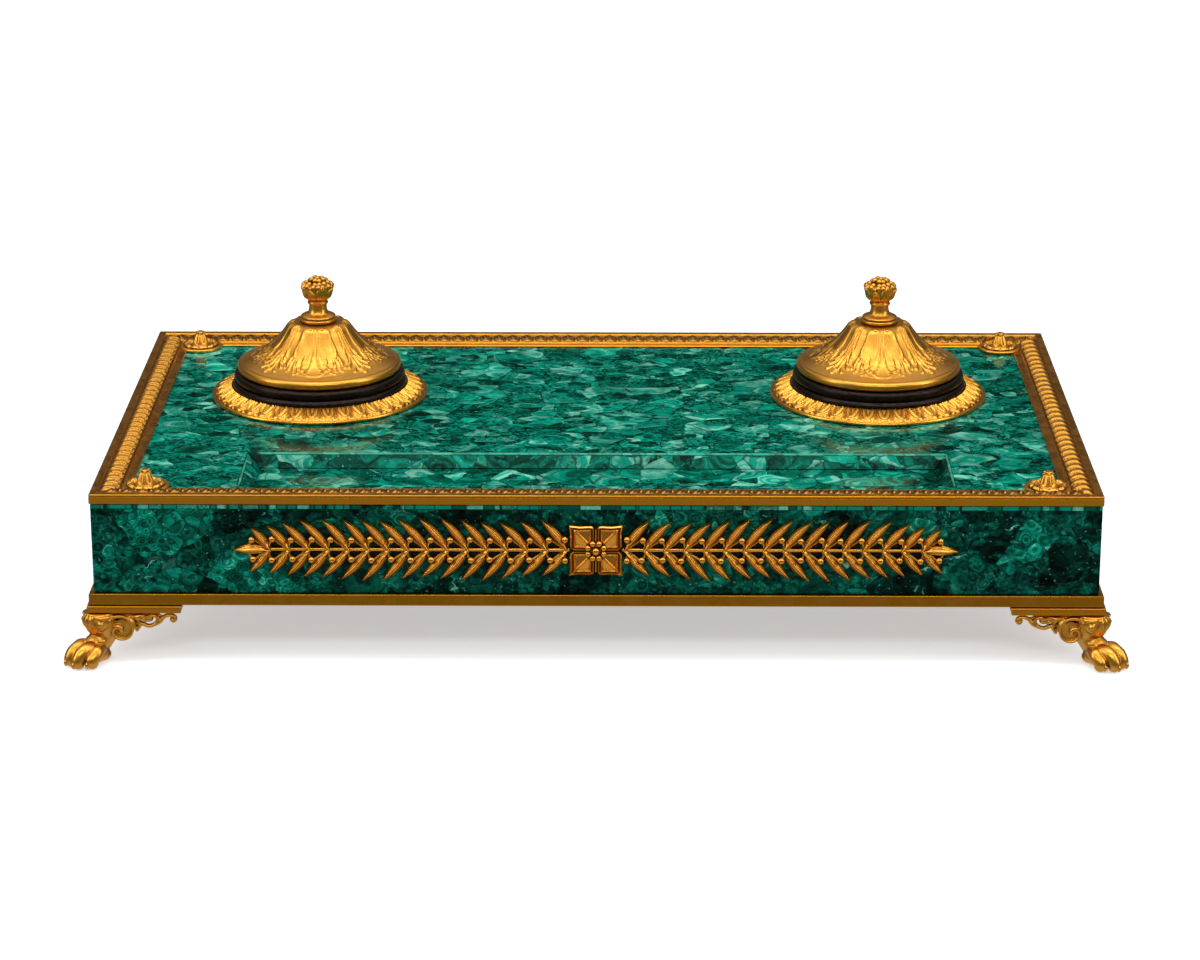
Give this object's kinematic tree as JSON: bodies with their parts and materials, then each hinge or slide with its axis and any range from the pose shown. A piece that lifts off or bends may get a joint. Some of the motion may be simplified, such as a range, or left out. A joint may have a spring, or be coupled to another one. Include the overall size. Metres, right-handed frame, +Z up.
{
  "type": "desk inkstand",
  "caption": "Low rectangular desk inkstand faced in green stone and gilt metal on paw feet, with lidded ink wells behind a sunk pen tray, and loose pots that lift out.",
  "frame": {"origin": "middle of the footprint, at the soles of the feet", "axes": "+X along the length to the right, +Y towards the back, +Z up; the pen tray and the laurel are at the front, -Y"},
  "size_m": [0.4474, 0.2674, 0.126],
  "materials": {
    "malachite": "polished malachite mosaic",
    "gilt_bronze": "gilt bronze, burnished and matte",
    "gilt_bronze_dull": "worn gilt bronze, satin",
    "black_patina": "black patinated bronze, satin",
    "brass": "turned brass",
    "steel": "plain steel",
    "carcass_wood": "unvarnished wood",
    "glass": "clear pressed glass"
  },
  "bodies": {
    "stand": {"base_board": "carcass_wood", "carcass_front": "carcass_wood", "carcass_back": "carcass_wood", "carcass_left": "carcass_wood", "carcass_right": "carcass_wood", "top_board": "carcass_wood", "malachite_top": "malachite", "malachite_front": "malachite", "malachite_back": "malachite", "malachite_left": "malachite", "malachite_right": "malachite", "tray_floor": "malachite", "tray_side_front": "malachite", "tray_side_back": "malachite", "tray_side_left": "malachite", "tray_side_right": "malachite", "frame_rail_front": "gilt_bronze", "frame_rail_back": "gilt_bronze", "frame_rail_left": "gilt_bronze", "frame_rail_right": "gilt_bronze", "base_moulding_front": "gilt_bronze_dull", "base_moulding_back": "gilt_bronze_dull", "base_moulding_left": "gilt_bronze_dull", "base_moulding_right": "gilt_bronze_dull", "plinth_front_left": "gilt_bronze_dull", "plinth_front_right": "gilt_bronze_dull", "plinth_back_right": "gilt_bronze_dull", "plinth_back_left": "gilt_bronze_dull", "foot_front_left": "gilt_bronze", "foot_front_right": "gilt_bronze", "foot_back_right": "gilt_bronze", "foot_back_left": "gilt_bronze", "foot_screw_front_left": "steel", "foot_screw_front_right": "steel", "foot_screw_back_right": "steel", "foot_screw_back_left": "steel", "boss_front_left": "gilt_bronze", "boss_front_right": "gilt_bronze", "boss_back_right": "gilt_bronze", "boss_back_left": "gilt_bronze", "laurel_left": "gilt_bronze", "laurel_right": "gilt_bronze", "rosette": "gilt_bronze", "well_flange_left": "gilt_bronze", "well_flange_right": "gilt_bronze", "well_liner_left": "brass", "well_liner_right": "brass", "well_collar_left": "black_patina", "well_collar_right": "black_patina"},
    "pot_left": {"ink_pot_left": "glass"},
    "pot_right": {"ink_pot_right": "glass"},
    "lid_left": {"lid_left": "gilt_bronze", "finial_left": "gilt_bronze", "finial_nut_left": "brass"},
    "lid_right": {"lid_right": "gilt_bronze", "finial_right": "gilt_bronze", "finial_nut_right": "brass"}
  },
  "joints": [
    {"name": "pot_left_lift", "type": "slide", "parent": "stand", "child": "pot_left", "axis": [0, 0, 1], "range_m": [0, 0.06]},
    {"name": "pot_right_lift", "type": "slide", "parent": "stand", "child": "pot_right", "axis": [0, 0, 1], "range_m": [0, 0.06]},
    {"name": "lid_left_lift", "type": "slide", "parent": "pot_left", "child": "lid_left", "axis": [0, 0, 1], "range_m": [0, 0.06]},
    {"name": "lid_right_lift", "type": "slide", "parent": "pot_right", "child": "lid_right", "axis": [0, 0, 1], "range_m": [0, 0.06]}
  ]
}
